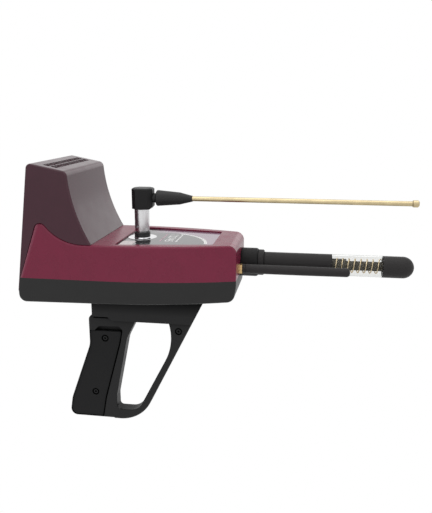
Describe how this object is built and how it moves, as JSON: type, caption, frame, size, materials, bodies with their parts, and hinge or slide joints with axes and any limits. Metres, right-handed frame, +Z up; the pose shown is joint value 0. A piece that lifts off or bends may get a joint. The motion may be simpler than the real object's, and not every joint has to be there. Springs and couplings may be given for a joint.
{
  "type": "gemstone detector",
  "caption": "Hand-held detector with a two-part housing on a slab grip and finger guard, a display hood, a swivelling telescopic pointer and a clear-windowed probe.",
  "frame": {"origin": "the middle of the grip, where the palm closes round it", "axes": "+X forward along the probes, +Y to the left of the user, +Z up"},
  "size_m": [0.4067, 0.1154, 0.2974],
  "materials": {
    "maroon_shell": "satin moulded maroon",
    "dark_shell": "fine matt texture",
    "hood_plastic": "satin dark plum",
    "fascia_film": "printed film, bare",
    "clear_window": "clear acrylic",
    "display_face": "unlit display",
    "key_rubber": "silicone",
    "power_rubber": "silicone",
    "circuit_board": "solder mask",
    "speaker_frame": "pressed frame",
    "grille_steel": "blackened mesh",
    "dial_face": "printed gloss plate",
    "battery_wrap": "shrink wrap",
    "zinc_screw": "zinc plated",
    "black_screw": "black oxide",
    "jack_metal": "nickel",
    "washer_chrome": "polished",
    "bush_black": "moulded",
    "bright_steel": "bright",
    "post_chrome": "polished",
    "head_black": "satin black",
    "boot_rubber": "ribbed rubber",
    "whip_brass": "polished brass",
    "probe_black": "satin black",
    "probe_clear": "clear acrylic tube",
    "core_dark": "dark rod",
    "sleeve_dark": "dark sleeve",
    "coil_copper": "enamelled copper",
    "probe_steel": "zinc plated",
    "sma_gold": "gold plated",
    "stick_black": "moulded antenna",
    "grip_black": "fine matt texture",
    "panel_black": "soft grip"
  },
  "bodies": {
    "housing": {"upper_shell": "maroon_shell", "lower_shell": "dark_shell", "display_hood": "hood_plastic", "rear_fascia": "fascia_film", "display_window": "clear_window", "display_module": "display_face", "key_board": "circuit_board", "main_board": "circuit_board", "speaker": "speaker_frame", "grille_mesh": "grille_steel", "dial_plate": "dial_face", "battery_pack": "battery_wrap", "shell_screws": "zinc_screw", "hood_screws": "zinc_screw", "saddle_screws": "zinc_screw", "grip_screws": "black_screw", "charge_jack": "jack_metal", "jack_nut": "jack_metal", "dial_washer": "washer_chrome", "swivel_collar": "bush_black", "bush_nut": "bright_steel", "thrust_washer": "bright_steel", "probe_collar": "probe_black", "probe_ring": "probe_black", "probe_tube": "probe_black", "probe_tip": "probe_black", "probe_window": "probe_clear", "coil_core": "core_dark", "coil_sleeve": "sleeve_dark", "coil_wire": "coil_copper", "probe_nut": "probe_steel", "sma_nut": "probe_steel", "sma_jack": "sma_gold", "stick_ferrule": "stick_black", "stick_body": "stick_black", "grip_frame": "grip_black", "grip_panel_right": "panel_black", "grip_panel_left": "panel_black"},
    "pointer": {"swivel_post": "post_chrome", "retaining_clip": "bright_steel", "post_set_screw": "bright_steel", "elbow_head": "head_black", "whip_boot": "boot_rubber", "whip_tube": "whip_brass"},
    "whip_middle": {"whip_mid": "whip_brass"},
    "whip_core": {"whip_inner": "whip_brass", "whip_tip": "whip_brass"},
    "key_1": {"key_1": "key_rubber"},
    "key_2": {"key_2": "key_rubber"},
    "key_3": {"key_3": "key_rubber"},
    "key_4": {"key_4": "key_rubber"},
    "power_key": {"power_key": "power_rubber"}
  },
  "joints": [
    {"name": "pointer_swivel", "type": "hinge", "parent": "housing", "child": "pointer", "pos_m": [0.0502, 0, 0.155], "axis": [0, 0, 1], "range_deg": [-125, 125]},
    {"name": "whip_middle_slide", "type": "slide", "parent": "pointer", "child": "whip_middle", "axis": [1, 0, 0], "range_m": [0, 0.24]},
    {"name": "whip_core_slide", "type": "slide", "parent": "whip_middle", "child": "whip_core", "axis": [1, 0, 0], "range_m": [0, 0.24]},
    {"name": "key_1_press", "type": "slide", "parent": "housing", "child": "key_1", "axis": [0.9903, 0, -0.1392], "range_m": [0, 0.0008], "stiffness_N_per_m": 1500, "springref_m": -0.0003},
    {"name": "key_2_press", "type": "slide", "parent": "housing", "child": "key_2", "axis": [0.9903, 0, -0.1392], "range_m": [0, 0.0008], "stiffness_N_per_m": 1500, "springref_m": -0.0003},
    {"name": "key_3_press", "type": "slide", "parent": "housing", "child": "key_3", "axis": [0.9903, 0, -0.1392], "range_m": [0, 0.0008], "stiffness_N_per_m": 1500, "springref_m": -0.0003},
    {"name": "key_4_press", "type": "slide", "parent": "housing", "child": "key_4", "axis": [0.9903, 0, -0.1392], "range_m": [0, 0.0008], "stiffness_N_per_m": 1500, "springref_m": -0.0003},
    {"name": "power_key_press", "type": "slide", "parent": "housing", "child": "power_key", "axis": [0.9903, 0, -0.1392], "range_m": [0, 0.0008], "stiffness_N_per_m": 1500, "springref_m": -0.0003}
  ]
}
